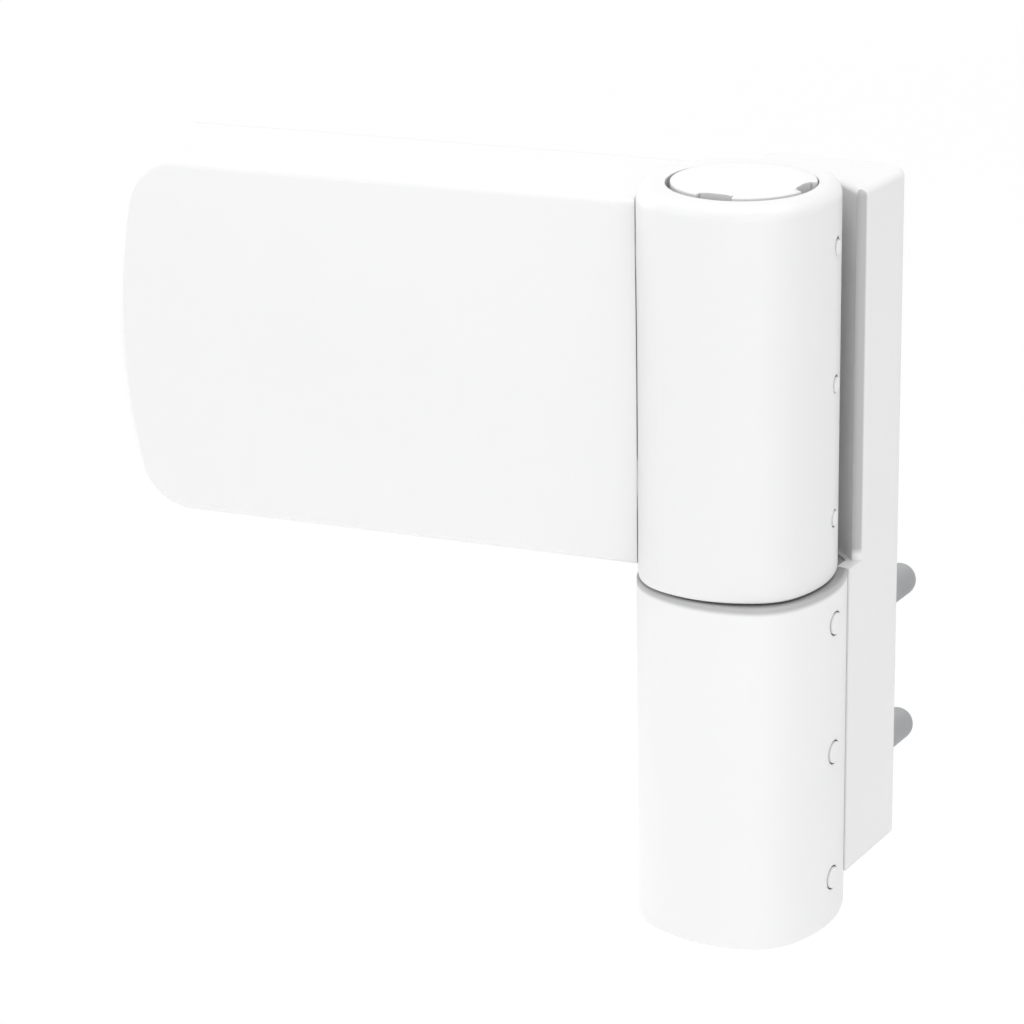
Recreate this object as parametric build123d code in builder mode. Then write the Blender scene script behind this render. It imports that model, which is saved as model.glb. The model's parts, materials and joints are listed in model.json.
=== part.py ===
from build123d import *
import os
from math import cos, radians, sin, sqrt

# Adjustable flag hinge for a plastic door, in millimetres with +Z up.
# The origin lies on the surface of the door frame, straight behind the hinge pin, at the height of
# the top of the lower barrel. The frame leaf is fixed to that surface and stands out along -Y.
# The sash leaf turns about the pin. It is drawn swung open by OPEN_ANGLE from the closed door.

os.makedirs("parts", exist_ok=True)

# Swing of the sash leaf and reach of the pin from the door frame
OPEN_ANGLE = 9.0
PIN_REACH = 30.5

# Barrels: each section is a square with bowed sides and large round corners
LOWER_HEIGHT = 59.7
UPPER_HEIGHT = 64.0
BARREL_GAP = 0.3
LOWER_HALF_WIDTH = 16.3
LOWER_HALF_DEPTH = 16.4
LOWER_BOW_RADIUS = 22.5
LOWER_CORNER_RADIUS = 11.0
LOWER_MIDDLE = 0.3
UPPER_HALF_WIDTH = 15.75
UPPER_HALF_DEPTH = 16.1
UPPER_BOW_RADIUS = 21.0
UPPER_CORNER_RADIUS = 10.0
UPPER_MIDDLE = -0.45
LOWER_TOP_ROUND = 0.5
LOWER_FOOT_ROUND = 0.8
UPPER_TOP_ROUND = 2.2
UPPER_FOOT_ROUND = 0.4

# Fits
RUNNING_FIT = 0.05
SEAM = 0.12
JOINT_GAP = 0.1
SLIDE_GAP = 0.15

# Pin, washer and bearing bushes
PIN_RADIUS = 6.0
PIN_FOOT_GAP = 0.3
PIN_CHAMFER = 0.8
WASHER_THICKNESS = 1.0
WASHER_RADIUS = 9.9
WASHER_BORE_GAP = 0.3
BUSH_WALL = 3.4
BUSH_FLANGE = 2.0
BUSH_FLANGE_RIM = 1.6
LOWER_BUSH_LENGTH = 18.0
UPPER_BUSH_LENGTH = 22.0

# Height adjustment inside the lower barrel
ECCENTRICITY = 1.0
SLEEVE_RADIUS = 11.95
SLEEVE_WALL = 1.95
SLEEVE_FLOOR = 12.0
SLEEVE_TOP_GAP = 1.0
LIFT_TRAVEL = 4.0
FOOT_CAP_RADIUS = 10.5
FOOT_CAP_DEPTH = 2.5
FOOT_CAP_SKIRT = 0.9
BARREL_FLOOR = 3.5
KEY_HOLE_RADIUS = 5.0
SCREW_COLLAR = 4.5
SCREW_COLLAR_GAP = 0.1
SCREW_THREAD_RADIUS = 6.0
SCREW_TIP_GAP = 0.4
SCREW_SOCKET_RADIUS = 4.0
SCREW_SOCKET_DEPTH = 7.0
COLLAR_TO_SLEEVE = 1.5
SPANNER_SLOT_WIDTH = 2.4
SPANNER_SLOT_DEPTH = 2.0

# Cap in the top of the upper barrel
CAP_HOLE_RADIUS = 11.95
CAP_HOLE_DEPTH = 12.0
CAP_RADIUS = 11.45
CAP_OFFSET = 0.15
CAP_DROP = 0.05
CAP_DISC = 2.8
CAP_SKIRT_WALL = 1.6
CAP_SKIRT_DEPTH = 5.5
CAP_NOTCH_TURNS = (-5.8, -95.8)
CAP_NOTCH_WIDTH = 5.7
CAP_NOTCH_RADIAL = 1.9
CAP_NOTCH_DEPTH = 1.6
CAP_NOTCH_CORNER = 0.7
CAP_EDGE = 0.15

# Set screws in the right side of each barrel, each under a flat plug
LOWER_SCREW_RADIUS = 2.05
UPPER_SCREW_RADIUS = 1.5
SIDE_SCREW_COUNT = 3
SIDE_SCREW_Y = 1.0
LOWER_SCREW_RISE = 8.4
LOWER_SCREW_DROP = 6.5
UPPER_SCREW_RISE = 10.0
UPPER_SCREW_DROP = 9.2
SIDE_PLUG_THICKNESS = 1.0
SIDE_PLUG_DROP = 0.4
SIDE_PLUG_GAP = 0.1
SIDE_SOCKET_RADIUS = 1.3
SIDE_SOCKET_DEPTH = 2.0
DOG_RADIUS = 1.6
DOG_REACH = 1.2
DOG_CLEARANCE = 0.3

# Frame leaf behind the barrels: fixing plate, neck and slip-on cover
COVER_RIGHT = 15.2
COVER_LEFT = 9.7
COVER_TOP_DROP = 2.6
COVER_FOOT_RISE = 6.0
COVER_WALL = 2.0
COVER_BACK_DROP = 0.2
COVER_BACK_ROUND = 4.5
COVER_TOP_ROUND = 1.0
COVER_EDGE_ROUND = 1.2
SEAM_Y = 8.6
LEG_FRONT_Y = 12.3
SCOOP_RADIUS = 18.5
SCOOP_WALL = 2.0
PLATE_THICKNESS = 7.0
PLATE_SIDE_GAP = 0.3
NECK_TOP_GAP = 0.3
FRAME_SCREW_COUNT = 3
FRAME_SCREW_RISE = 9.0
FRAME_SCREW_DROP = 8.4
FRAME_SCREW_RADIUS = 2.6
FRAME_HEAD_RADIUS = 5.0
PEG_RADIUS = 2.9
PEG_X = 6.5
PEG_HEIGHTS = (16.45, 43.45)
PEG_REACH = 19.0
PEG_SEAT = 3.5
PEG_SPIGOT_RADIUS = 2.3
PEG_MOUTH_GAP = 0.15

# Flag cover of the sash leaf
FLAG_LENGTH = 115.3
FLAG_FOOT = 1.3
FLAG_HEIGHT = 60.6
FLAG_BACK_Y = 19.0
FLAG_FRONT_Y = -9.0
FLAG_CROWN = 2.2
FLAG_END_RADIUS = 110.3
FLAG_FLANK_RADIUS = 43.2
FLAG_CORNER_RADIUS = 10.0
FLAG_OUTLINES = 4
FLAG_EDGE_ROUND = 1.2
FLAG_WALL = 2.2
FLAG_BACK_DROP = 0.2
FLAG_INNER_END = 12.0
POST_RADIUS = 2.6
POST_PIN_RADIUS = 1.5
POST_PIN_LENGTH = 3.0

# Arm of the sash leaf
ARM_FRONT_Y = 2.0
ARM_THICKNESS = 9.8
ARM_HEIGHT = 31.0
ARM_END_ROOM = 31.3
ARM_ROOT = 8.0
ARM_EDGE_ROUND = 1.5
NEAR_POST_X = -47.0
FAR_POST_INSET = 8.0
FAR_POST_SPREAD = 11.0

# Base plate, which shifts sideways on the arm
BASE_END_ROOM = 18.3
BASE_NEAR = 27.0
BASE_SIDE_GAP = 0.6
BASE_CORNER = 6.0
RAIL_WIDTH = 2.4
RAIL_HEIGHT = 6.0
RAIL_NEAR = 34.0
BASE_LAP = 2.0
LUG_WIDTH = 6.0
LUG_HEIGHT = 16.0
LUG_FRONT_Y = 1.0
LATERAL_TRAVEL = 3.0
SASH_SCREW_RADIUS = 2.5
SASH_HEAD_RADIUS = 4.3
SASH_SCREW_EDGE = 5.0
SASH_SCREW_INSET = 9.0
CLAMP_XS = (-34.0, -60.0)
CLAMP_RADIUS = 3.0
CLAMP_SLOT_GAP = 0.25
CLAMP_HEAD_RADIUS = 5.0
CLAMP_HEAD_HEIGHT = 3.6
CLAMP_SOCKET_RADIUS = 2.5
CLAMP_SOCKET_DEPTH = 2.4
CLAMP_WASHER_SIZE = 13.0
CLAMP_WASHER_THICKNESS = 2.0
CLAMP_TIP_GAP = 0.6

# Spindle of the sideways adjustment
SPINDLE_RADIUS = 4.0
SPINDLE_NECK_RADIUS = 3.1
SPINDLE_NECK_GAP = 0.08
SPINDLE_COLLAR_RADIUS = 4.7
SPINDLE_COLLAR = 2.4
SPINDLE_THREAD_LENGTH = 14.5
SPINDLE_BORE_DEPTH = 14.0
SPINDLE_SOCKET_RADIUS = 2.3
SPINDLE_SOCKET_DEPTH = 2.6

# Levels and places worked out from the sizes above
FOOT_Z = -LOWER_HEIGHT
UPPER_FOOT_Z = BARREL_GAP
BUSH_TOP_Z = BARREL_GAP - WASHER_THICKNESS
TOP_Z = UPPER_FOOT_Z + UPPER_HEIGHT
COVER_TOP_Z = TOP_Z - COVER_TOP_DROP
COVER_FOOT_Z = FOOT_Z + COVER_FOOT_RISE
COVER_MID_X = (COVER_RIGHT - COVER_LEFT) / 2
COVER_WIDTH = COVER_RIGHT + COVER_LEFT
COVER_BACK_Y = PIN_REACH - COVER_BACK_DROP
PLATE_WIDTH = COVER_WIDTH - 2 * (COVER_WALL + PLATE_SIDE_GAP)
PLATE_FRONT_Y = PIN_REACH - PLATE_THICKNESS
PLATE_TOP_Z = COVER_TOP_Z - COVER_WALL - PLATE_SIDE_GAP
PLATE_FOOT_Z = COVER_FOOT_Z + PLATE_SIDE_GAP
SLEEVE_BORE_RADIUS = SLEEVE_RADIUS + RUNNING_FIT
BUSH_BORE_RADIUS = SLEEVE_RADIUS - SLEEVE_WALL
ECCENTRIC_RADIUS = BUSH_BORE_RADIUS - RUNNING_FIT
BARREL_FLOOR_Z = FOOT_Z + FOOT_CAP_DEPTH + BARREL_FLOOR
COLLAR_TOP_Z = BARREL_FLOOR_Z + SCREW_COLLAR
SLEEVE_FOOT_Z = COLLAR_TOP_Z + COLLAR_TO_SLEEVE
SLEEVE_FLOOR_Z = SLEEVE_FOOT_Z + SLEEVE_FLOOR
BUSH_RADIUS = PIN_RADIUS + RUNNING_FIT + BUSH_WALL
BUSH_FLANGE_RADIUS = BUSH_RADIUS + BUSH_FLANGE_RIM
CAP_SEAT_Z = TOP_Z - CAP_HOLE_DEPTH
PIN_TOP_Z = CAP_SEAT_Z + BUSH_FLANGE
FLAG_MID_Z = FLAG_FOOT + FLAG_HEIGHT / 2
FLAG_BACK_FACE_Y = FLAG_BACK_Y - FLAG_BACK_DROP
ARM_END = FLAG_LENGTH - ARM_END_ROOM
ARM_BACK_Y = ARM_FRONT_Y + ARM_THICKNESS
ARM_MID_Y = ARM_FRONT_Y + ARM_THICKNESS / 2
FAR_POST_X = FAR_POST_INSET - ARM_END
POST_PLACES = (
    (NEAR_POST_X, 0.0),
    (FAR_POST_X, FAR_POST_SPREAD),
    (FAR_POST_X, -FAR_POST_SPREAD),
)
BASE_FAR = FLAG_LENGTH - BASE_END_ROOM
BASE_HEIGHT = FLAG_HEIGHT - 2 * (FLAG_WALL + BASE_SIDE_GAP)
BASE_FRONT_Y = ARM_BACK_Y + SLIDE_GAP
SASH_SCREW_XS = (-BASE_NEAR - SASH_SCREW_INSET, SASH_SCREW_INSET - BASE_FAR)
SASH_SCREW_RISE = BASE_HEIGHT / 2 - SASH_SCREW_EDGE
UPRIGHT = (Align.CENTER, Align.CENTER, Align.MIN)


def spread(low, high, count):
    """Heights of a column of screws, spaced evenly between its two ends."""
    return [low + (high - low) * i / (count - 1) for i in range(count)]


LOWER_SCREW_HEIGHTS = spread(FOOT_Z + LOWER_SCREW_RISE, -LOWER_SCREW_DROP, SIDE_SCREW_COUNT)
UPPER_SCREW_HEIGHTS = spread(
    UPPER_FOOT_Z + UPPER_SCREW_RISE, TOP_Z - UPPER_SCREW_DROP, SIDE_SCREW_COUNT
)
FRAME_SCREW_HEIGHTS = spread(
    FRAME_SCREW_RISE, PLATE_TOP_Z - FRAME_SCREW_DROP, FRAME_SCREW_COUNT
)

# Directions of the sash leaf
SASH_X = Vector(cos(radians(OPEN_ANGLE)), sin(radians(OPEN_ANGLE)), 0)
SASH_Y = Vector(-sin(radians(OPEN_ANGLE)), cos(radians(OPEN_ANGLE)), 0)


def pin_level(height):
    """Level plane centred on the pin, square to the frame leaf."""
    return Plane(origin=(0, -PIN_REACH, height))


def frame_side(x, y, height):
    """Plane that faces +X, at a place given from the pin."""
    return Plane(origin=(x, y - PIN_REACH, height), x_dir=(0, 1, 0), z_dir=(1, 0, 0))


def frame_back(x, y, height):
    """Plane that faces +Y, at a place given from the pin."""
    return Plane(origin=(x, y - PIN_REACH, height), x_dir=(-1, 0, 0), z_dir=(0, 1, 0))


def frame_front(x, y, height):
    """Plane that faces -Y, at a place given from the pin."""
    return Plane(origin=(x, y - PIN_REACH, height), x_dir=(1, 0, 0), z_dir=(0, -1, 0))


def sash_point(x, y, height):
    """Place in the swung sash leaf, given from the pin along the leaf's own directions."""
    return Vector(0, -PIN_REACH, height) + SASH_X * x + SASH_Y * y


def sash_level(height, x=0.0, y=0.0):
    """Level plane centred on the pin, square to the sash leaf."""
    return Plane(origin=sash_point(x, y, height), x_dir=SASH_X, z_dir=(0, 0, 1))


def sash_side(x, y, height):
    """Plane that faces along the sash leaf towards the barrel."""
    return Plane(origin=sash_point(x, y, height), x_dir=SASH_Y, z_dir=SASH_X)


def sash_front(x, y, height):
    """Plane that faces out of the sash leaf's front."""
    return Plane(origin=sash_point(x, y, height), x_dir=SASH_X, z_dir=-SASH_Y)


def bowed_square(half_width, half_depth, bow_radius, corner_radius, middle, gap=0.0):
    """Section of a barrel, widened by a gap: four large circles overlapped, with round corners."""
    bow = bow_radius + gap
    with BuildSketch() as section:
        with Locations((middle, bow_radius - half_depth)):
            Circle(bow)
        with Locations((middle, half_depth - bow_radius)):
            Circle(bow, mode=Mode.INTERSECT)
        with Locations((middle + bow_radius - half_width, 0)):
            Circle(bow, mode=Mode.INTERSECT)
        with Locations((middle + half_width - bow_radius, 0)):
            Circle(bow, mode=Mode.INTERSECT)
        fillet(section.vertices(), radius=corner_radius + gap)
    return section.sketch


def rod(plane, radius, length, mode=Mode.ADD):
    """Round bar or hole that stands on a plane."""
    with Locations(plane):
        Cylinder(radius, length, align=UPRIGHT, mode=mode)


LOWER_BARREL = (
    LOWER_HALF_WIDTH,
    LOWER_HALF_DEPTH,
    LOWER_BOW_RADIUS,
    LOWER_CORNER_RADIUS,
    LOWER_MIDDLE,
)
UPPER_BARREL = (
    UPPER_HALF_WIDTH,
    UPPER_HALF_DEPTH,
    UPPER_BOW_RADIUS,
    UPPER_CORNER_RADIUS,
    UPPER_MIDDLE,
)
LOWER_SECTION = bowed_square(*LOWER_BARREL)
LOWER_CLEARANCE = bowed_square(*LOWER_BARREL, gap=SEAM)
UPPER_SECTION = bowed_square(*UPPER_BARREL)
UPPER_CLEARANCE = bowed_square(*UPPER_BARREL, gap=JOINT_GAP)

# Frame bracket: lower barrel with the neck that reaches back to the fixing plate
with BuildPart() as frame_bracket:
    with BuildSketch(pin_level(FOOT_Z)):
        add(LOWER_SECTION)
    extrude(amount=LOWER_HEIGHT)
    fillet(frame_bracket.faces().sort_by(Axis.Z)[-1].edges(), radius=LOWER_TOP_ROUND)
    fillet(frame_bracket.faces().sort_by(Axis.Z)[0].edges(), radius=LOWER_FOOT_ROUND)
    # Rebate in which the cover's side wall lies flush with the barrel
    with BuildSketch(pin_level(COVER_FOOT_Z - SEAM)):
        with Locations((COVER_MID_X + PLATE_WIDTH / 2, SEAM_Y)):
            Rectangle(COVER_RIGHT, COVER_RIGHT, align=(Align.MIN, Align.MIN))
    extrude(amount=LOWER_HEIGHT, mode=Mode.SUBTRACT)
    with BuildSketch(pin_level(PLATE_FOOT_Z)):
        with Locations((COVER_MID_X, PLATE_FRONT_Y)):
            Rectangle(PLATE_WIDTH, PLATE_FRONT_Y - SEAM_Y, align=(Align.CENTER, Align.MAX))
    extrude(amount=-COVER_WALL - NECK_TOP_GAP - PLATE_FOOT_Z)
    # Bore of the height sleeve, key hole and seat of the foot cap
    rod(
        Plane(origin=(-ECCENTRICITY, -PIN_REACH, BARREL_FLOOR_Z)),
        SLEEVE_BORE_RADIUS,
        LOWER_HEIGHT,
        Mode.SUBTRACT,
    )
    rod(
        Plane(origin=(-ECCENTRICITY, -PIN_REACH, FOOT_Z)),
        KEY_HOLE_RADIUS,
        LOWER_HEIGHT,
        Mode.SUBTRACT,
    )
    rod(
        Plane(origin=(-ECCENTRICITY, -PIN_REACH, FOOT_Z)),
        FOOT_CAP_RADIUS,
        FOOT_CAP_DEPTH,
        Mode.SUBTRACT,
    )
    for height in LOWER_SCREW_HEIGHTS:
        rod(
            frame_side(0, SIDE_SCREW_Y, height),
            LOWER_SCREW_RADIUS,
            2 * LOWER_HALF_WIDTH,
            Mode.SUBTRACT,
        )
frame_bracket.part.label = "frame_bracket"
export_step(frame_bracket.part, "parts/frame_bracket.step")

# Fixing plate behind the neck, with countersunk holes and the seats of the pegs
with BuildPart() as frame_plate:
    with BuildSketch(pin_level(PLATE_FOOT_Z)):
        with Locations((COVER_MID_X, PIN_REACH)):
            Rectangle(PLATE_WIDTH, PLATE_THICKNESS, align=(Align.CENTER, Align.MAX))
    extrude(amount=PLATE_TOP_Z - PLATE_FOOT_Z)
    for height in FRAME_SCREW_HEIGHTS:
        with Locations(frame_front(COVER_MID_X, PLATE_FRONT_Y, height)):
            CounterSinkHole(FRAME_SCREW_RADIUS, FRAME_HEAD_RADIUS, depth=PLATE_THICKNESS)
    for peg_height in PEG_HEIGHTS:
        with Locations(frame_back(PEG_X, PIN_REACH, FOOT_Z + peg_height)):
            CounterSinkHole(PEG_SPIGOT_RADIUS, PEG_RADIUS + PEG_MOUTH_GAP, depth=PEG_SEAT)
frame_plate.part.label = "frame_plate"
export_step(frame_plate.part, "parts/frame_plate.step")

# Locating pegs: round-nosed pins with spigots let into the back of the plate
with BuildPart() as locating_pegs:
    for peg_height in PEG_HEIGHTS:
        rod(
            frame_back(PEG_X, PIN_REACH - PEG_SEAT, FOOT_Z + peg_height),
            PEG_SPIGOT_RADIUS,
            PEG_SEAT,
        )
        rod(
            frame_back(PEG_X, PIN_REACH, FOOT_Z + peg_height),
            PEG_RADIUS,
            PEG_REACH - PEG_RADIUS,
        )
        with Locations((PEG_X, PEG_REACH - PEG_RADIUS, FOOT_Z + peg_height)):
            Sphere(PEG_RADIUS)
locating_pegs.part.label = "locating_pegs"
export_step(locating_pegs.part, "parts/locating_pegs.step")

# Frame cover: slips down over the plate; its upper leg is hollowed to the swing of the barrel
with BuildPart() as frame_cover:
    with BuildSketch(pin_level(-COVER_WALL)) as upper_leg:
        with Locations((COVER_MID_X, COVER_BACK_Y)):
            Rectangle(
                COVER_WIDTH, COVER_BACK_Y - LEG_FRONT_Y, align=(Align.CENTER, Align.MAX)
            )
        fillet(upper_leg.vertices().group_by(Axis.Y)[-1], radius=COVER_BACK_ROUND)
        Circle(SCOOP_RADIUS, mode=Mode.SUBTRACT)
        front_corner = upper_leg.vertices().sort_by(Axis.X)[-2:].sort_by(Axis.Y)[0]
        fillet(front_corner, radius=COVER_EDGE_ROUND)
    extrude(amount=COVER_TOP_Z + COVER_WALL)
    fillet(frame_cover.faces().sort_by(Axis.Z)[-1].edges(), radius=COVER_TOP_ROUND)
    with BuildSketch(pin_level(COVER_FOOT_Z)) as lower_leg:
        with Locations((COVER_MID_X, COVER_BACK_Y)):
            Rectangle(
                COVER_WIDTH, COVER_BACK_Y - SEAM_Y - SEAM, align=(Align.CENTER, Align.MAX)
            )
        fillet(lower_leg.vertices().group_by(Axis.Y)[-1], radius=COVER_BACK_ROUND)
        add(LOWER_CLEARANCE, mode=Mode.SUBTRACT)
        with Locations((COVER_MID_X + PLATE_WIDTH / 2, SEAM_Y + SEAM)):
            Rectangle(
                COVER_WALL + PLATE_SIDE_GAP, LEG_FRONT_Y, align=(Align.MIN, Align.MIN)
            )
    extrude(amount=LOWER_HEIGHT - COVER_FOOT_RISE)
    with BuildSketch(pin_level(COVER_FOOT_Z)):
        with Locations((COVER_MID_X, PIN_REACH)):
            Rectangle(
                COVER_WIDTH - 2 * COVER_WALL, PIN_REACH, align=(Align.CENTER, Align.MAX)
            )
    extrude(amount=-COVER_WALL - COVER_FOOT_Z, mode=Mode.SUBTRACT)
    with BuildSketch(pin_level(-COVER_WALL)):
        with Locations((COVER_MID_X, PIN_REACH)):
            Rectangle(
                COVER_WIDTH - 2 * COVER_WALL,
                PIN_REACH - SCOOP_RADIUS - SCOOP_WALL,
                align=(Align.CENTER, Align.MAX),
            )
    extrude(amount=COVER_TOP_Z, mode=Mode.SUBTRACT)
frame_cover.part.label = "frame_cover"
export_step(frame_cover.part, "parts/frame_cover.step")

# Height screw: captive under the sleeve, turned by a key from below
with BuildPart() as height_screw:
    rod(
        Plane(origin=(-ECCENTRICITY, -PIN_REACH, BARREL_FLOOR_Z)),
        SLEEVE_BORE_RADIUS - SCREW_COLLAR_GAP,
        SCREW_COLLAR,
    )
    rod(
        Plane(origin=(-ECCENTRICITY, -PIN_REACH, COLLAR_TOP_Z)),
        SCREW_THREAD_RADIUS,
        SLEEVE_FLOOR_Z - COLLAR_TOP_Z - SCREW_TIP_GAP,
    )
    chamfer(height_screw.faces().sort_by(Axis.Z)[-1].edges(), length=PIN_CHAMFER)
    with BuildSketch(Plane(origin=(-ECCENTRICITY, -PIN_REACH, BARREL_FLOOR_Z))):
        RegularPolygon(SCREW_SOCKET_RADIUS, 6)
    extrude(amount=SCREW_SOCKET_DEPTH, mode=Mode.SUBTRACT)
height_screw.part.label = "height_screw"
export_step(height_screw.part, "parts/height_screw.step")

# Height sleeve: climbs on the screw and is kept from turning by the dog screw in its slot
with BuildPart() as height_sleeve:
    sleeve_height = -SLEEVE_TOP_GAP - SLEEVE_FOOT_Z
    rod(
        Plane(origin=(-ECCENTRICITY, -PIN_REACH, SLEEVE_FOOT_Z)), SLEEVE_RADIUS, sleeve_height
    )
    chamfer(height_sleeve.faces().sort_by(Axis.Z)[0].edges(), length=PIN_CHAMFER)
    rod(
        Plane(origin=(-ECCENTRICITY, -PIN_REACH, SLEEVE_FLOOR_Z)),
        BUSH_BORE_RADIUS,
        sleeve_height,
        Mode.SUBTRACT,
    )
    rod(
        Plane(origin=(-ECCENTRICITY, -PIN_REACH, SLEEVE_FOOT_Z)),
        SCREW_THREAD_RADIUS + RUNNING_FIT,
        SLEEVE_FLOOR,
        Mode.SUBTRACT,
    )
    slot_radius = DOG_RADIUS + DOG_CLEARANCE
    slot_bottom_x = SLEEVE_RADIUS - ECCENTRICITY - DOG_REACH - DOG_CLEARANCE
    with BuildSketch(
        frame_side(slot_bottom_x, SIDE_SCREW_Y, LOWER_SCREW_HEIGHTS[1] - LIFT_TRAVEL / 2)
    ):
        SlotCenterToCenter(LIFT_TRAVEL, 2 * slot_radius, rotation=90)
    extrude(amount=SLEEVE_RADIUS, mode=Mode.SUBTRACT)
height_sleeve.part.label = "height_sleeve"
export_step(height_sleeve.part, "parts/height_sleeve.step")

# Eccentric bush: turning it moves the pin towards or away from the frame
with BuildPart() as eccentric_bush:
    rod(
        Plane(origin=(-ECCENTRICITY, -PIN_REACH, SLEEVE_FLOOR_Z)),
        ECCENTRIC_RADIUS,
        BUSH_TOP_Z - SLEEVE_FLOOR_Z,
    )
    rod(pin_level(SLEEVE_FLOOR_Z), PIN_RADIUS + RUNNING_FIT, LOWER_HEIGHT, Mode.SUBTRACT)
    with BuildSketch(Plane(origin=(-ECCENTRICITY, -PIN_REACH, BUSH_TOP_Z))):
        Rectangle(SPANNER_SLOT_WIDTH, 2 * ECCENTRIC_RADIUS)
    extrude(amount=-SPANNER_SLOT_DEPTH, mode=Mode.SUBTRACT)
eccentric_bush.part.label = "eccentric_bush"
export_step(eccentric_bush.part, "parts/eccentric_bush.step")

with BuildPart() as hinge_pin:
    rod(
        pin_level(SLEEVE_FLOOR_Z + PIN_FOOT_GAP),
        PIN_RADIUS,
        PIN_TOP_Z - SLEEVE_FLOOR_Z - PIN_FOOT_GAP,
    )
    chamfer(hinge_pin.edges().filter_by(GeomType.CIRCLE), length=PIN_CHAMFER)
hinge_pin.part.label = "hinge_pin"
export_step(hinge_pin.part, "parts/hinge_pin.step")

with BuildPart() as thrust_washer:
    rod(pin_level(BUSH_TOP_Z), WASHER_RADIUS, WASHER_THICKNESS)
    rod(pin_level(BUSH_TOP_Z), PIN_RADIUS + WASHER_BORE_GAP, WASHER_THICKNESS, Mode.SUBTRACT)
thrust_washer.part.label = "thrust_washer"
export_step(thrust_washer.part, "parts/thrust_washer.step")

# Foot cap: a shallow dished plug that hides the height screw
with BuildPart() as foot_cap:
    rod(
        Plane(origin=(-ECCENTRICITY, -PIN_REACH, FOOT_Z)),
        FOOT_CAP_RADIUS - RUNNING_FIT,
        FOOT_CAP_DEPTH,
    )
    rod(
        Plane(origin=(-ECCENTRICITY, -PIN_REACH, FOOT_Z + FOOT_CAP_DEPTH)),
        KEY_HOLE_RADIUS - RUNNING_FIT,
        BARREL_FLOOR - FOOT_CAP_SKIRT,
    )
    rod(
        Plane(origin=(-ECCENTRICITY, -PIN_REACH, FOOT_Z + FOOT_CAP_DEPTH)),
        KEY_HOLE_RADIUS - FOOT_CAP_SKIRT,
        BARREL_FLOOR,
        Mode.SUBTRACT,
    )
    rod(
        Plane(origin=(-ECCENTRICITY, -PIN_REACH, FOOT_Z)),
        FOOT_CAP_RADIUS - FOOT_CAP_DEPTH,
        FOOT_CAP_SKIRT,
        Mode.SUBTRACT,
    )
foot_cap.part.label = "foot_cap"
export_step(foot_cap.part, "parts/foot_cap.step")

# Side screws of the lower barrel; the middle one ends in a dog that enters the sleeve's slot
LOWER_PLUG_FACE = LOWER_HALF_WIDTH + LOWER_MIDDLE - SIDE_PLUG_DROP
SIDE_SCREW_TIP = SLEEVE_RADIUS - ECCENTRICITY + DOG_CLEARANCE
with BuildPart() as lower_side_screws:
    for height in LOWER_SCREW_HEIGHTS:
        rod(
            frame_side(SIDE_SCREW_TIP, SIDE_SCREW_Y, height),
            LOWER_SCREW_RADIUS,
            LOWER_PLUG_FACE - SIDE_PLUG_THICKNESS - SIDE_SCREW_TIP,
        )
        with BuildSketch(
            frame_side(LOWER_PLUG_FACE - SIDE_PLUG_THICKNESS, SIDE_SCREW_Y, height)
        ):
            RegularPolygon(SIDE_SOCKET_RADIUS, 6)
        extrude(amount=-SIDE_SOCKET_DEPTH, mode=Mode.SUBTRACT)
    rod(
        frame_side(SIDE_SCREW_TIP - DOG_REACH - DOG_CLEARANCE, SIDE_SCREW_Y, LOWER_SCREW_HEIGHTS[1]),
        DOG_RADIUS,
        DOG_REACH + DOG_CLEARANCE,
    )
lower_side_screws.part.label = "lower_side_screws"
export_step(lower_side_screws.part, "parts/lower_side_screws.step")

with BuildPart() as lower_side_plugs:
    for height in LOWER_SCREW_HEIGHTS:
        rod(
            frame_side(LOWER_PLUG_FACE - SIDE_PLUG_THICKNESS, SIDE_SCREW_Y, height),
            LOWER_SCREW_RADIUS - SIDE_PLUG_GAP,
            SIDE_PLUG_THICKNESS,
        )
lower_side_plugs.part.label = "lower_side_plugs"
export_step(lower_side_plugs.part, "parts/lower_side_plugs.step")

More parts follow.
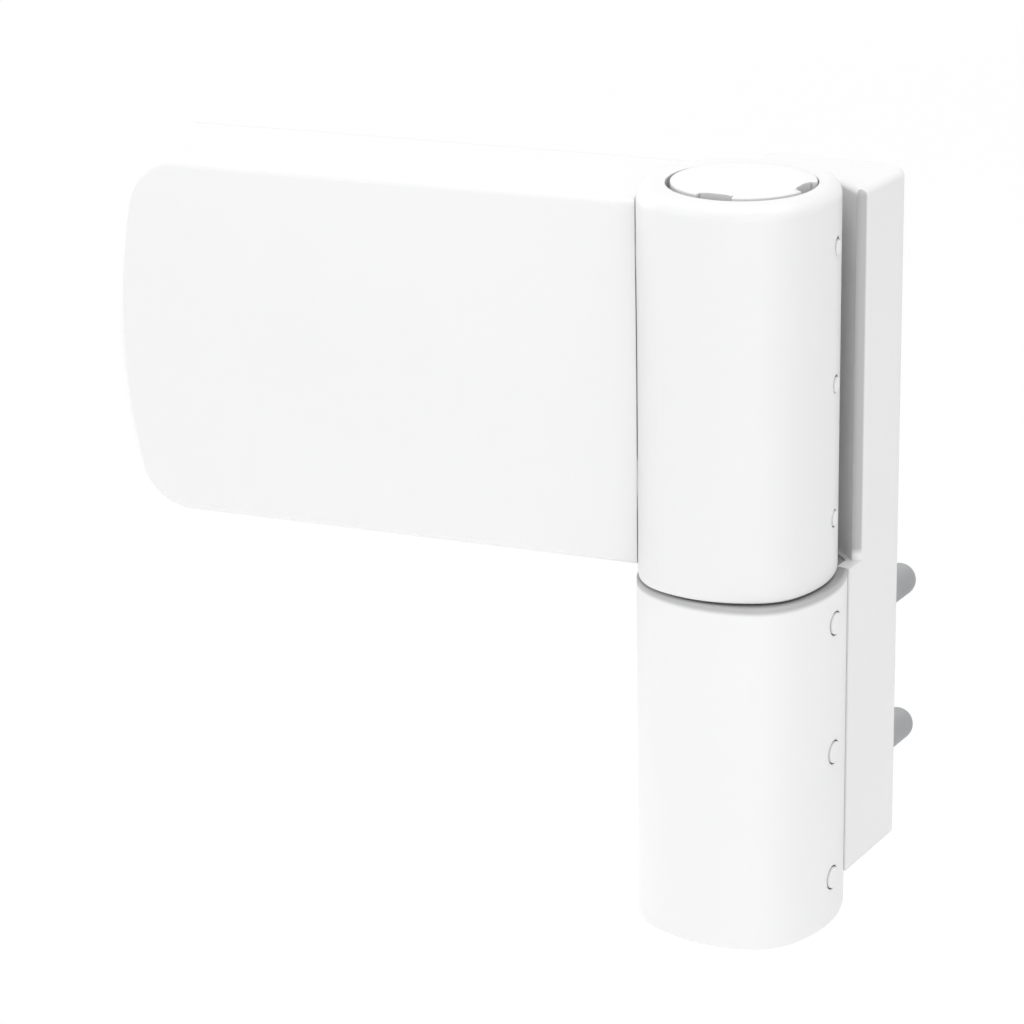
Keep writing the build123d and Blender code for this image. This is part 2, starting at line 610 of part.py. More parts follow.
# Sash knuckle: upper barrel and slotted arm in one casting
with BuildPart() as sash_knuckle:
    with BuildSketch(sash_level(UPPER_FOOT_Z)):
        add(UPPER_SECTION)
    extrude(amount=UPPER_HEIGHT)
    fillet(sash_knuckle.faces().sort_by(Axis.Z)[-1].edges(), radius=UPPER_TOP_ROUND)
    fillet(sash_knuckle.faces().sort_by(Axis.Z)[0].edges(), radius=UPPER_FOOT_ROUND)
    with BuildSketch(sash_front(0, ARM_BACK_Y, FLAG_MID_Z)) as arm_outline:
        with Locations((-ARM_ROOT, 0)):
            Rectangle(ARM_END - ARM_ROOT, ARM_HEIGHT, align=(Align.MAX, Align.CENTER))
        fillet(arm_outline.vertices().group_by(Axis.X)[0], radius=ARM_EDGE_ROUND)
        with Locations(*[(x, 0) for x in CLAMP_XS]):
            SlotCenterToCenter(
                2 * LATERAL_TRAVEL, 2 * (CLAMP_RADIUS + CLAMP_SLOT_GAP), mode=Mode.SUBTRACT
            )
    extrude(amount=ARM_THICKNESS)
    for post_x, post_z in POST_PLACES:
        rod(
            sash_front(post_x, ARM_FRONT_Y + POST_PIN_LENGTH, FLAG_MID_Z + post_z),
            POST_PIN_RADIUS,
            POST_PIN_LENGTH,
            Mode.SUBTRACT,
        )
    rod(
        sash_side(-ARM_END, ARM_MID_Y, FLAG_MID_Z),
        SPINDLE_RADIUS + RUNNING_FIT,
        SPINDLE_BORE_DEPTH,
        Mode.SUBTRACT,
    )
    # Bush seats, bush bore and cap hole
    rod(sash_level(UPPER_FOOT_Z), BUSH_RADIUS, UPPER_HEIGHT, Mode.SUBTRACT)
    rod(sash_level(UPPER_FOOT_Z), BUSH_FLANGE_RADIUS, BUSH_FLANGE, Mode.SUBTRACT)
    rod(sash_level(CAP_SEAT_Z), CAP_HOLE_RADIUS, CAP_HOLE_DEPTH, Mode.SUBTRACT)
    for height in UPPER_SCREW_HEIGHTS:
        rod(
            sash_side(0, SIDE_SCREW_Y, height),
            UPPER_SCREW_RADIUS,
            2 * UPPER_HALF_WIDTH,
            Mode.SUBTRACT,
        )
sash_knuckle.part.label = "sash_knuckle"
export_step(sash_knuckle.part, "parts/sash_knuckle.step")

# Bearing bushes: flanged sleeves pressed into both ends of the upper barrel
with BuildPart() as lower_bearing_bush:
    rod(sash_level(UPPER_FOOT_Z), BUSH_RADIUS, LOWER_BUSH_LENGTH)
    rod(sash_level(UPPER_FOOT_Z), BUSH_FLANGE_RADIUS, BUSH_FLANGE)
    rod(
        sash_level(UPPER_FOOT_Z), PIN_RADIUS + RUNNING_FIT, LOWER_BUSH_LENGTH, Mode.SUBTRACT
    )
lower_bearing_bush.part.label = "lower_bearing_bush"
export_step(lower_bearing_bush.part, "parts/lower_bearing_bush.step")

with BuildPart() as upper_bearing_bush:
    rod(sash_level(CAP_SEAT_Z - UPPER_BUSH_LENGTH), BUSH_RADIUS, UPPER_BUSH_LENGTH)
    rod(sash_level(CAP_SEAT_Z), BUSH_FLANGE_RADIUS, BUSH_FLANGE)
    rod(
        sash_level(CAP_SEAT_Z - UPPER_BUSH_LENGTH),
        PIN_RADIUS + RUNNING_FIT,
        UPPER_BUSH_LENGTH + BUSH_FLANGE,
        Mode.SUBTRACT,
    )
upper_bearing_bush.part.label = "upper_bearing_bush"
export_step(upper_bearing_bush.part, "parts/upper_bearing_bush.step")

# Top cap: a disc with a skirt and notches round its rim for prising it out
CAP_FACE_Z = TOP_Z - CAP_DROP
with BuildPart() as top_cap:
    rod(
        sash_level(CAP_FACE_Z - CAP_DISC - CAP_SKIRT_DEPTH, CAP_OFFSET),
        CAP_RADIUS,
        CAP_DISC + CAP_SKIRT_DEPTH,
    )
    chamfer(top_cap.faces().sort_by(Axis.Z)[-1].edges(), length=CAP_EDGE)
    rod(
        sash_level(CAP_FACE_Z - CAP_DISC - CAP_SKIRT_DEPTH, CAP_OFFSET),
        CAP_RADIUS - CAP_SKIRT_WALL,
        CAP_SKIRT_DEPTH,
        Mode.SUBTRACT,
    )
    with BuildSketch(sash_level(CAP_FACE_Z, CAP_OFFSET)):
        for turn in CAP_NOTCH_TURNS:
            with PolarLocations(CAP_RADIUS, 1, start_angle=turn):
                RectangleRounded(2 * CAP_NOTCH_RADIAL, CAP_NOTCH_WIDTH, CAP_NOTCH_CORNER)
    extrude(amount=-CAP_NOTCH_DEPTH, mode=Mode.SUBTRACT)
top_cap.part.label = "top_cap"
export_step(top_cap.part, "parts/top_cap.step")

# Side screws of the upper barrel hold the bushes and the cap
UPPER_PLUG_FACE = UPPER_HALF_WIDTH + UPPER_MIDDLE - SIDE_PLUG_DROP
with BuildPart() as upper_side_screws:
    for height in UPPER_SCREW_HEIGHTS:
        rod(
            sash_side(CAP_HOLE_RADIUS, SIDE_SCREW_Y, height),
            UPPER_SCREW_RADIUS,
            UPPER_PLUG_FACE - SIDE_PLUG_THICKNESS - CAP_HOLE_RADIUS,
        )
upper_side_screws.part.label = "upper_side_screws"
export_step(upper_side_screws.part, "parts/upper_side_screws.step")

with BuildPart() as upper_side_plugs:
    for height in UPPER_SCREW_HEIGHTS:
        rod(
            sash_side(UPPER_PLUG_FACE - SIDE_PLUG_THICKNESS, SIDE_SCREW_Y, height),
            UPPER_SCREW_RADIUS - SIDE_PLUG_GAP,
            SIDE_PLUG_THICKNESS,
        )
upper_side_plugs.part.label = "upper_side_plugs"
export_step(upper_side_plugs.part, "parts/upper_side_plugs.step")

def flag_outline(y, inset):
    """Outline of the flag at a depth y: its end comes nearer to the pin towards the front."""
    flank = sqrt((FLAG_FLANK_RADIUS - inset) ** 2 - (FLAG_BACK_FACE_Y - y) ** 2)
    reach = FLAG_LENGTH - FLAG_FLANK_RADIUS + flank
    bow = FLAG_END_RADIUS - FLAG_LENGTH + reach
    with BuildSketch(sash_front(0, y, FLAG_MID_Z)) as outline:
        Rectangle(reach, FLAG_HEIGHT - 2 * inset, align=(Align.MAX, Align.CENTER))
        with Locations((bow - reach, 0)):
            Circle(bow, mode=Mode.INTERSECT)
        fillet(outline.vertices().group_by(Axis.X)[0], radius=FLAG_CORNER_RADIUS - inset)
    return outline.sketch


def flag_block(inset):
    """Solid form of the flag: flared round end and crowned front, made smaller by an inset."""
    depth = FLAG_BACK_FACE_Y - FLAG_FRONT_Y
    crown_radius = (FLAG_HEIGHT**2 / 4 + FLAG_CROWN**2) / (2 * FLAG_CROWN)
    steps = [i / (FLAG_OUTLINES - 1) for i in range(FLAG_OUTLINES)]
    with BuildPart() as block:
        loft([flag_outline(FLAG_BACK_FACE_Y - depth * step, inset) for step in steps])
        with BuildSketch(sash_side(-FLAG_LENGTH, 0, FLAG_MID_Z)):
            with Locations((FLAG_FRONT_Y + crown_radius, 0)):
                Circle(crown_radius - inset)
            with Locations((FLAG_BACK_FACE_Y, 0)):
                Rectangle(
                    depth, FLAG_HEIGHT, align=(Align.MAX, Align.CENTER), mode=Mode.INTERSECT
                )
        extrude(amount=FLAG_LENGTH, mode=Mode.INTERSECT)
    return block.part


FLAG_OUTER = flag_block(0.0)
FLAG_INNER = flag_block(FLAG_WALL)

# Flag cover: a deep tray, open towards the door and the barrel, on three posts
with BuildPart() as flag_cover:
    add(FLAG_OUTER)
    front_edges = flag_cover.faces().sort_by(Axis((0, 0, 0), SASH_Y))[0].edges()
    fillet(front_edges, radius=FLAG_EDGE_ROUND)
    add(FLAG_INNER, mode=Mode.SUBTRACT)
    for post_x, post_z in POST_PLACES:
        rod(
            sash_front(post_x, ARM_FRONT_Y, FLAG_MID_Z + post_z),
            POST_RADIUS,
            ARM_FRONT_Y - FLAG_FRONT_Y - FLAG_WALL,
        )
        rod(
            sash_front(post_x, ARM_FRONT_Y + POST_PIN_LENGTH, FLAG_MID_Z + post_z),
            POST_PIN_RADIUS - RUNNING_FIT,
            POST_PIN_LENGTH,
        )
    with BuildSketch(sash_level(0)):
        add(UPPER_CLEARANCE)
        with Locations((-FLAG_INNER_END, 0)):
            Rectangle(FLAG_LENGTH, 2 * FLAG_LENGTH, align=(Align.MIN, Align.CENTER))
    extrude(amount=2 * FLAG_HEIGHT, mode=Mode.SUBTRACT)
flag_cover.part.label = "flag_cover"
export_step(flag_cover.part, "parts/flag_cover.step")

# Base plate: fixed to the door sash, guided along the arm by two rails
with BuildPart() as base_plate:
    with BuildSketch(sash_front(0, FLAG_BACK_Y, FLAG_MID_Z)) as plate_outline:
        with Locations((-BASE_NEAR, 0)):
            Rectangle(BASE_FAR - BASE_NEAR, BASE_HEIGHT, align=(Align.MAX, Align.CENTER))
        fillet(plate_outline.vertices(), radius=BASE_CORNER)
    extrude(amount=FLAG_BACK_Y - BASE_FRONT_Y)
    with BuildSketch(sash_front(0, FLAG_BACK_Y - BASE_LAP, FLAG_MID_Z)):
        for side in (-1, 1):
            rail_z = side * (ARM_HEIGHT / 2 + SLIDE_GAP + RAIL_WIDTH / 2)
            with Locations((-RAIL_NEAR, rail_z)):
                Rectangle(BASE_FAR - RAIL_NEAR, RAIL_WIDTH, align=(Align.MAX, Align.CENTER))
    extrude(amount=FLAG_BACK_Y - BASE_LAP - BASE_FRONT_Y + RAIL_HEIGHT)
    with BuildSketch(sash_front(0, FLAG_BACK_Y - BASE_LAP, FLAG_MID_Z)):
        with Locations((-BASE_FAR, 0)):
            Rectangle(LUG_WIDTH, LUG_HEIGHT, align=(Align.MIN, Align.CENTER))
    extrude(amount=FLAG_BACK_Y - BASE_LAP - LUG_FRONT_Y)
    rod(
        sash_side(-BASE_FAR, ARM_MID_Y, FLAG_MID_Z),
        SPINDLE_NECK_RADIUS + SPINDLE_NECK_GAP,
        LUG_WIDTH,
        Mode.SUBTRACT,
    )
    for clamp_x in CLAMP_XS:
        rod(
            sash_front(clamp_x, FLAG_BACK_Y, FLAG_MID_Z),
            CLAMP_RADIUS + RUNNING_FIT,
            FLAG_BACK_Y - BASE_FRONT_Y,
            Mode.SUBTRACT,
        )
    for screw_x in SASH_SCREW_XS:
        for side in (-1, 1):
            screw_z = FLAG_MID_Z + side * SASH_SCREW_RISE
            with Locations(sash_front(screw_x, BASE_FRONT_Y, screw_z)):
                CounterSinkHole(
                    SASH_SCREW_RADIUS, SASH_HEAD_RADIUS, depth=FLAG_BACK_Y - BASE_FRONT_Y
                )
base_plate.part.label = "base_plate"
export_step(base_plate.part, "parts/base_plate.step")

# Clamp screws: through the arm's slots into the base plate
CLAMP_HEAD_Y = ARM_FRONT_Y - CLAMP_WASHER_THICKNESS
with BuildPart() as clamp_screws:
    for clamp_x in CLAMP_XS:
        rod(
            sash_front(clamp_x, FLAG_BACK_Y - CLAMP_TIP_GAP, FLAG_MID_Z),
            CLAMP_RADIUS,
            FLAG_BACK_Y - CLAMP_TIP_GAP - CLAMP_HEAD_Y,
        )
        rod(
            sash_front(clamp_x, CLAMP_HEAD_Y, FLAG_MID_Z), CLAMP_HEAD_RADIUS, CLAMP_HEAD_HEIGHT
        )
        with BuildSketch(sash_front(clamp_x, CLAMP_HEAD_Y - CLAMP_HEAD_HEIGHT, FLAG_MID_Z)):
            RegularPolygon(CLAMP_SOCKET_RADIUS, 6)
        extrude(amount=-CLAMP_SOCKET_DEPTH, mode=Mode.SUBTRACT)
clamp_screws.part.label = "clamp_screws"
export_step(clamp_screws.part, "parts/clamp_screws.step")

with BuildPart() as clamp_washers:
    with BuildSketch(sash_front(0, ARM_FRONT_Y, FLAG_MID_Z)):
        with Locations(*[(x, 0) for x in CLAMP_XS]):
            Rectangle(CLAMP_WASHER_SIZE, CLAMP_WASHER_SIZE)
            Circle(CLAMP_RADIUS + RUNNING_FIT, mode=Mode.SUBTRACT)
    extrude(amount=CLAMP_WASHER_THICKNESS)
clamp_washers.part.label = "clamp_washers"
export_step(clamp_washers.part, "parts/clamp_washers.step")

# Lateral spindle: captive in the base plate's lug, threaded into the end of the arm
LUG_INNER = BASE_FAR - LUG_WIDTH
with BuildPart() as lateral_spindle:
    rod(
        sash_side(-BASE_FAR - RUNNING_FIT, ARM_MID_Y, FLAG_MID_Z),
        SPINDLE_NECK_RADIUS,
        LUG_WIDTH + 2 * RUNNING_FIT,
    )
    rod(
        sash_side(-BASE_FAR - RUNNING_FIT - SPINDLE_COLLAR, ARM_MID_Y, FLAG_MID_Z),
        SPINDLE_COLLAR_RADIUS,
        SPINDLE_COLLAR,
    )
    rod(
        sash_side(-LUG_INNER + RUNNING_FIT, ARM_MID_Y, FLAG_MID_Z),
        SPINDLE_COLLAR_RADIUS,
        SPINDLE_COLLAR,
    )
    rod(
        sash_side(-LUG_INNER + RUNNING_FIT, ARM_MID_Y, FLAG_MID_Z),
        SPINDLE_RADIUS,
        SPINDLE_COLLAR + SPINDLE_THREAD_LENGTH,
    )
    with BuildSketch(sash_side(-BASE_FAR - RUNNING_FIT - SPINDLE_COLLAR, ARM_MID_Y, FLAG_MID_Z)):
        RegularPolygon(SPINDLE_SOCKET_RADIUS, 6)
    extrude(amount=SPINDLE_SOCKET_DEPTH, mode=Mode.SUBTRACT)
lateral_spindle.part.label = "lateral_spindle"
export_step(lateral_spindle.part, "parts/lateral_spindle.step")
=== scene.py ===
import json
import math

import bmesh
import bpy
from mathutils import Matrix, Vector


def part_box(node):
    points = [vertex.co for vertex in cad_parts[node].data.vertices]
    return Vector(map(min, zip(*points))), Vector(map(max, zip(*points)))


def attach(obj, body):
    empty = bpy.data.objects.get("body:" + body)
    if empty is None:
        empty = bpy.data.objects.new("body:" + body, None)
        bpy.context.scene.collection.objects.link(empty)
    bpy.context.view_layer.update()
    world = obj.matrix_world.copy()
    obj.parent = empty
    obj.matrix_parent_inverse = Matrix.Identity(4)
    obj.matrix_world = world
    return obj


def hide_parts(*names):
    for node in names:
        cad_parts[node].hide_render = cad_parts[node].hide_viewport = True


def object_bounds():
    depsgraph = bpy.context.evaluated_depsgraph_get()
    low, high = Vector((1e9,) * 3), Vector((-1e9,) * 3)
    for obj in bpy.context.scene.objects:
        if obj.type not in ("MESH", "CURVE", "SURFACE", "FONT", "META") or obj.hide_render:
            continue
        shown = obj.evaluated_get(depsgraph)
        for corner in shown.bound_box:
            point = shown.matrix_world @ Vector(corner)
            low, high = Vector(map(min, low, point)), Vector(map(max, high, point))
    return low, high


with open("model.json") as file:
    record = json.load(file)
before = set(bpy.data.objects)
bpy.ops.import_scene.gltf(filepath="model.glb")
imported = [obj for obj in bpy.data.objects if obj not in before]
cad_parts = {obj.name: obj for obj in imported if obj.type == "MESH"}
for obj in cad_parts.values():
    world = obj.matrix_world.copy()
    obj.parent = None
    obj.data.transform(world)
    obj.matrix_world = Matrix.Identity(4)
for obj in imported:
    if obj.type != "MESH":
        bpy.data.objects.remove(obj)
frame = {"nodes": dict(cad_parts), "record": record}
cad_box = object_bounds()
nodes = frame["nodes"]

# One millimetre and one degree in the scene's own units
MM = 0.001
DEG = math.radians(1.0)

# Camera: its place, aim and lens give the photograph's view of the hinge
CAMERA_PLACE = (243.31 * MM, -498.25 * MM, 200.42 * MM)
CAMERA_AZIMUTH = 31.466
CAMERA_ELEVATION = 19.836
CAMERA_ROLL = -1.172
FOCAL_PIXELS = 3493.263
PHOTO_PIXELS = 1024
SENSOR_MM = 36.0

# Light levels and the floor
FLOOR_DROP = 60 * MM
FLOOR_GLOW_NEAR = 0.8
FLOOR_GLOW_FAR = 1.0
FLOOR_NEAR = 0.35
FLOOR_FAR = 1.1
FLOOR_HALF = 6.0
FLOOR_TONE = 0.95
WORLD_LEVEL = 0.534

# Soft square lamps: name, place, width and power
LAMPS = (
    ("key lamp", (-0.6, -1.35, 0.55), 0.9, 3),
    ("top lamp", (0.1, 0.1, 1.5), 1.2, 12.65),
    ("left lamp", (-1.5, 0.1, 0.3), 0.9, 7.5),
    ("right lamp", (0.9, -1.2, 0.2), 0.9, 5.65),
)

# Pin axis and the swung sash leaf, as the CAD has them
PIN_REACH = 30.5 * MM
OPEN_ANGLE = 9.0
SASH_X = Vector((math.cos(OPEN_ANGLE * DEG), math.sin(OPEN_ANGLE * DEG), 0))
SASH_Y = Vector((-SASH_X.y, SASH_X.x, 0))
PIN = Vector((0, -PIN_REACH, 0))

# Top cap: a disc that stands a little above the rim, with two notches in its edge
CAP_RADIUS = 11.45 * MM
CAP_RISE = 0.25 * MM
CAP_SHIFT = (0.16 * MM, 0.3 * MM)
CAP_SKIRT = 7 * MM
CAP_NOTCH_TURNS = (3.2, -86.8)
CAP_NOTCH_HALF = 14.5
CAP_NOTCH_REACH = 1.9 * MM
CAP_NOTCH_DEPTH = 2.2 * MM
CAP_EDGE = 0.2 * MM
CAP_STEPS = 360

# Plugs over the side screws: faces from the pin, heights and sizes
PLUG_Y = 1.0 * MM
PLUG_RISE = 0.25 * MM
PLUG_DEPTH = 1.0 * MM
PLUG_STEPS = 48
LOWER_PLUG_FACE = 16.6 * MM
LOWER_PLUG_RADIUS = 1.8 * MM
LOWER_PLUG_HEIGHTS = (-51.3 * MM, -28.9 * MM, -6.5 * MM)
UPPER_PLUG_FACE = 15.3 * MM
UPPER_PLUG_RADIUS = 1.25 * MM
UPPER_PLUG_HEIGHTS = (10.3 * MM, 32.55 * MM, 54.8 * MM)

# Samples of the nodes that round edges and find narrow places, and the coats' refraction
BEVEL_SAMPLES = 6
CREVICE_SAMPLES = 5
SURFACE_IOR = 1.48

# Plain colours of the finishes
ENAMEL_WHITE = (0.848, 0.848, 0.85, 1)
# Enamel white made lighter for the lower barrel: painted light
PAINTED_LIGHT_BARREL_WHITE = (0.872, 0.872, 0.874, 1)
PLASTIC_WHITE = (0.862, 0.862, 0.864, 1)
ZINC_GREY = (0.42, 0.43, 0.44, 1)
STEEL_GREY = (0.56, 0.56, 0.57, 1)
ALLOY_GREY = (0.6, 0.61, 0.62, 1)
BEARING_BLACK = (0.02, 0.02, 0.022, 1)


def new_group(name, inputs, outputs):
    """Empty shader group with named sockets; gives the group, its input and its output node."""
    group = bpy.data.node_groups.new(name, "ShaderNodeTree")
    for label, kind, value in inputs:
        socket = group.interface.new_socket(name=label, in_out="INPUT", socket_type=kind)
        if value is not None:
            socket.default_value = value
    for label, kind in outputs:
        group.interface.new_socket(name=label, in_out="OUTPUT", socket_type=kind)
    return group, group.nodes.new("NodeGroupInput"), group.nodes.new("NodeGroupOutput")


def math_node(tree, operation, first, second=None, clamp=False):
    """Math node whose inputs are sockets or plain numbers; gives its output."""
    node = tree.nodes.new("ShaderNodeMath")
    node.operation = operation
    node.use_clamp = clamp
    for socket, value in zip(node.inputs, (first, second)):
        if value is None:
            continue
        if isinstance(value, (int, float)):
            socket.default_value = value
        else:
            tree.links.new(value, socket)
    return node.outputs[0]


def noise_node(tree, vector, scale, detail=3.0, roughness=0.55):
    """Noise texture on a vector, with a scale that is a socket or a number; gives its factor."""
    node = tree.nodes.new("ShaderNodeTexNoise")
    node.inputs["Detail"].default_value = detail
    node.inputs["Roughness"].default_value = roughness
    tree.links.new(vector, node.inputs["Vector"])
    if isinstance(scale, (int, float)):
        node.inputs["Scale"].default_value = scale
    else:
        tree.links.new(scale, node.inputs["Scale"])
    return node.outputs["Fac"]


def range_node(tree, value, low, high, to_low, to_high):
    """Map Range node, clamped; gives its result."""
    node = tree.nodes.new("ShaderNodeMapRange")
    tree.links.new(value, node.inputs["Value"])
    for label, number in (
        ("From Min", low),
        ("From Max", high),
        ("To Min", to_low),
        ("To Max", to_high),
    ):
        node.inputs[label].default_value = number
    return node.outputs["Result"]


def edge_group():
    """Finds the edges of a piece: a normal that rounds them a little, and a mask along them."""
    group, source, sink = new_group(
        "Edge finish",
        [("Radius", "NodeSocketFloat", 0.2 * MM)],
        [("Normal", "NodeSocketVector"), ("Edge", "NodeSocketFloat")],
    )
    bevel = group.nodes.new("ShaderNodeBevel")
    bevel.samples = BEVEL_SAMPLES
    group.links.new(source.outputs["Radius"], bevel.inputs["Radius"])
    surface = group.nodes.new("ShaderNodeNewGeometry")
    alike = group.nodes.new("ShaderNodeVectorMath")
    alike.operation = "DOT_PRODUCT"
    group.links.new(bevel.outputs["Normal"], alike.inputs[0])
    group.links.new(surface.outputs["Normal"], alike.inputs[1])
    edge = range_node(group, alike.outputs["Value"], 0.7, 0.99, 1.0, 0.0)
    group.links.new(bevel.outputs["Normal"], sink.inputs["Normal"])
    group.links.new(edge, sink.inputs["Edge"])
    return group


def grain_group():
    """Fine skin of a moulded, cast or coated surface: a height and a slow drift over the piece."""
    group, source, sink = new_group(
        "Surface grain",
        [
            ("Vector", "NodeSocketVector", None),
            ("Grain Scale", "NodeSocketFloat", 2500.0),
            ("Drift Scale", "NodeSocketFloat", 45.0),
        ],
        [("Height", "NodeSocketFloat"), ("Drift", "NodeSocketFloat")],
    )
    vector = source.outputs["Vector"]
    grain = noise_node(group, vector, source.outputs["Grain Scale"], 2.0)
    ripple_scale = math_node(group, "MULTIPLY", source.outputs["Grain Scale"], 0.18)
    ripple = noise_node(group, vector, ripple_scale, 1.0)
    height = math_node(group, "ADD", grain, math_node(group, "MULTIPLY", ripple, 1.6))
    drift = noise_node(group, vector, source.outputs["Drift Scale"], 4.0)
    group.links.new(height, sink.inputs["Height"])
    group.links.new(range_node(group, drift, 0.3, 0.7, 0.0, 1.0), sink.inputs["Drift"])
    return group


def crevice_group():
    """Mask of the narrow places between pieces, where a surface lies close to another; the
    finishes darken their colour by it as painted shade.
    """
    group, source, sink = new_group(
        "Crevice",
        [("Reach", "NodeSocketFloat", 6 * MM)],
        [("Depth", "NodeSocketFloat")],
    )
    open_sky = group.nodes.new("ShaderNodeAmbientOcclusion")
    open_sky.samples = CREVICE_SAMPLES
    group.links.new(source.outputs["Reach"], open_sky.inputs["Distance"])
    depth = math_node(group, "SUBTRACT", 1.0, open_sky.outputs["AO"], clamp=True)
    group.links.new(depth, sink.inputs["Depth"])
    return group


def rim_group():
    """Mask that grows towards one rim of a piece, between two places along an axis; the finishes
    paint shade along the rim by it.
    """
    group, source, sink = new_group(
        "Rim",
        [
            ("Place", "NodeSocketFloat", 0.0),
            ("Start", "NodeSocketFloat", 0.0),
            ("Full", "NodeSocketFloat", 1.0),
        ],
        [("Near", "NodeSocketFloat")],
    )
    near = group.nodes.new("ShaderNodeMapRange")
    near.interpolation_type = "SMOOTHSTEP"
    group.links.new(source.outputs["Place"], near.inputs["Value"])
    group.links.new(source.outputs["Start"], near.inputs["From Min"])
    group.links.new(source.outputs["Full"], near.inputs["From Max"])
    group.links.new(near.outputs["Result"], sink.inputs["Near"])
    return group


EDGE_FINISH = edge_group()
CREVICE = crevice_group()
RIM = rim_group()
SURFACE_GRAIN = grain_group()


def place_group(tree, group, **values):
    """Puts a shared group into a material; values are numbers or sockets by input name."""
    node = tree.nodes.new("ShaderNodeGroup")
    node.node_tree = group
    for label, value in values.items():
        socket = node.inputs[label.replace("_", " ")]
        if isinstance(value, (int, float)):
            socket.default_value = value
        else:
            tree.links.new(value, socket)
    return node


def shaded(color, share):
    """The colour, made darker by a share."""
    return (color[0] * share, color[1] * share, color[2] * share, 1)


def finish_material(name, color, roughness, grain, depth, **options):
    """Coated, moulded or metal finish made of grain, slow drift, edges, and painted shade in
    narrow places and along rims.

    color is the plain colour; roughness and the options' spread give the range that drifts.
    The options' rims are places along an axis where the painted shade starts and where it is full.
    """
    material = bpy.data.materials.new(name)
    material.use_nodes = True
    tree = material.node_tree
    shader = tree.nodes["Principled BSDF"]
    coordinates = tree.nodes.new("ShaderNodeTexCoord").outputs["Object"]
    skin = place_group(
        tree,
        SURFACE_GRAIN,
        Vector=coordinates,
        Grain_Scale=grain,
        Drift_Scale=options.get("drift_scale", 45.0),
    )
    edges = place_group(tree, EDGE_FINISH, Radius=options.get("edge_radius", 0.25 * MM))
    spread = options.get("spread", 0.05)
    rough = range_node(
        tree, skin.outputs["Drift"], 0.0, 1.0, roughness - spread, roughness + spread
    )
    worn = math_node(
        tree, "MULTIPLY", edges.outputs["Edge"], options.get("edge_polish", 0.06)
    )
    tree.links.new(math_node(tree, "SUBTRACT", rough, worn), shader.inputs["Roughness"])
    tint = tree.nodes.new("ShaderNodeMix")
    tint.data_type = "RGBA"
    tint.inputs["A"].default_value = color
    tint.inputs["B"].default_value = shaded(color, options.get("shade", 0.99))
    tree.links.new(skin.outputs["Drift"], tint.inputs["Factor"])
    # Edge colour: lighter worn edges on the metals, a darker painted shade line along the
    # plastic's edges
    edge_wear_and_shade = tree.nodes.new("ShaderNodeMix")
    edge_wear_and_shade.data_type = "RGBA"
    edge_wear_and_shade.inputs["B"].default_value = options.get("edge_color", color)
    tree.links.new(tint.outputs["Result"], edge_wear_and_shade.inputs["A"])
    tree.links.new(edges.outputs["Edge"], edge_wear_and_shade.inputs["Factor"])
    # Painted shade: the colour darkens towards crevice_tone where other surfaces lie close
    crevice = place_group(tree, CREVICE, Reach=options.get("crevice_reach", 5 * MM))
    painted_shade_mix = tree.nodes.new("ShaderNodeMix")
    painted_shade_mix.data_type = "RGBA"
    painted_shade_mix.inputs["B"].default_value = shaded(color, options.get("crevice_tone", 0.82))
    tree.links.new(edge_wear_and_shade.outputs["Result"], painted_shade_mix.inputs["A"])
    painted_shade_share = math_node(
        tree, "MULTIPLY", crevice.outputs["Depth"], options.get("crevice_share", 1.0)
    )
    # Painted shadow: darker still where all of the options' rim masks meet
    if "rims" in options:
        split = tree.nodes.new("ShaderNodeSeparateXYZ")
        tree.links.new(coordinates, split.inputs["Vector"])
        rim_shadow_share = options["rim_share"]
        for axis, start, full in options["rims"]:
            rim = place_group(tree, RIM, Place=split.outputs[axis], Start=start, Full=full)
            rim_shadow_share = math_node(tree, "MULTIPLY", rim.outputs["Near"], rim_shadow_share)
        painted_shade_share = math_node(tree, "ADD", painted_shade_share, rim_shadow_share, clamp=True)
    tree.links.new(painted_shade_share, painted_shade_mix.inputs["Factor"])
    tree.links.new(painted_shade_mix.outputs["Result"], shader.inputs["Base Color"])
    bump = tree.nodes.new("ShaderNodeBump")
    bump.inputs["Strength"].default_value = options.get("bump", 0.35)
    bump.inputs["Distance"].default_value = depth
    tree.links.new(skin.outputs["Height"], bump.inputs["Height"])
    tree.links.new(edges.outputs["Normal"], bump.inputs["Normal"])
    tree.links.new(bump.outputs["Normal"], shader.inputs["Normal"])
    shader.inputs["Metallic"].default_value = options.get("metallic", 0.0)
    shader.inputs["IOR"].default_value = SURFACE_IOR
    return material


# Enamel white with painted shade in narrow places, reaching 14 mm
ENAMEL = finish_material(
    "White enamel",
    ENAMEL_WHITE,
    0.4,
    900.0,
    0.02 * MM,
    crevice_reach=14 * MM,
    crevice_tone=0.72,
)
# Lower barrel: lighter copy of the enamel as painted light, painted shade in narrow places, and a
# painted shadow band just under its top rim, beneath the upper barrel
BARREL_ENAMEL_PAINTED_LIGHT_AND_SHADE = finish_material(
    "White barrel enamel with painted light and shade",
    PAINTED_LIGHT_BARREL_WHITE,
    0.4,
    900.0,
    0.02 * MM,
    crevice_reach=14 * MM,
    crevice_tone=0.4,
    rims=(("Z", -1.6 * MM, -0.6 * MM),),
    rim_share=0.75,
)
# Frame cover: painted shade in narrow places and a painted shadow strip along the edge of its
# hollow, above the ledge, beside the upper barrel
COVER_ENAMEL_PAINTED_SHADE = finish_material(
    "White cover enamel with painted shade",
    ENAMEL_WHITE,
    0.4,
    900.0,
    0.02 * MM,
    crevice_tone=0.45,
    crevice_share=0.09,
    rims=(
        ("X", 13.5 * MM, 14.0 * MM),
        ("Y", -17.1 * MM, -17.6 * MM),
        ("Z", 0.9 * MM, 2.3 * MM),
    ),
    rim_share=0.78,
)
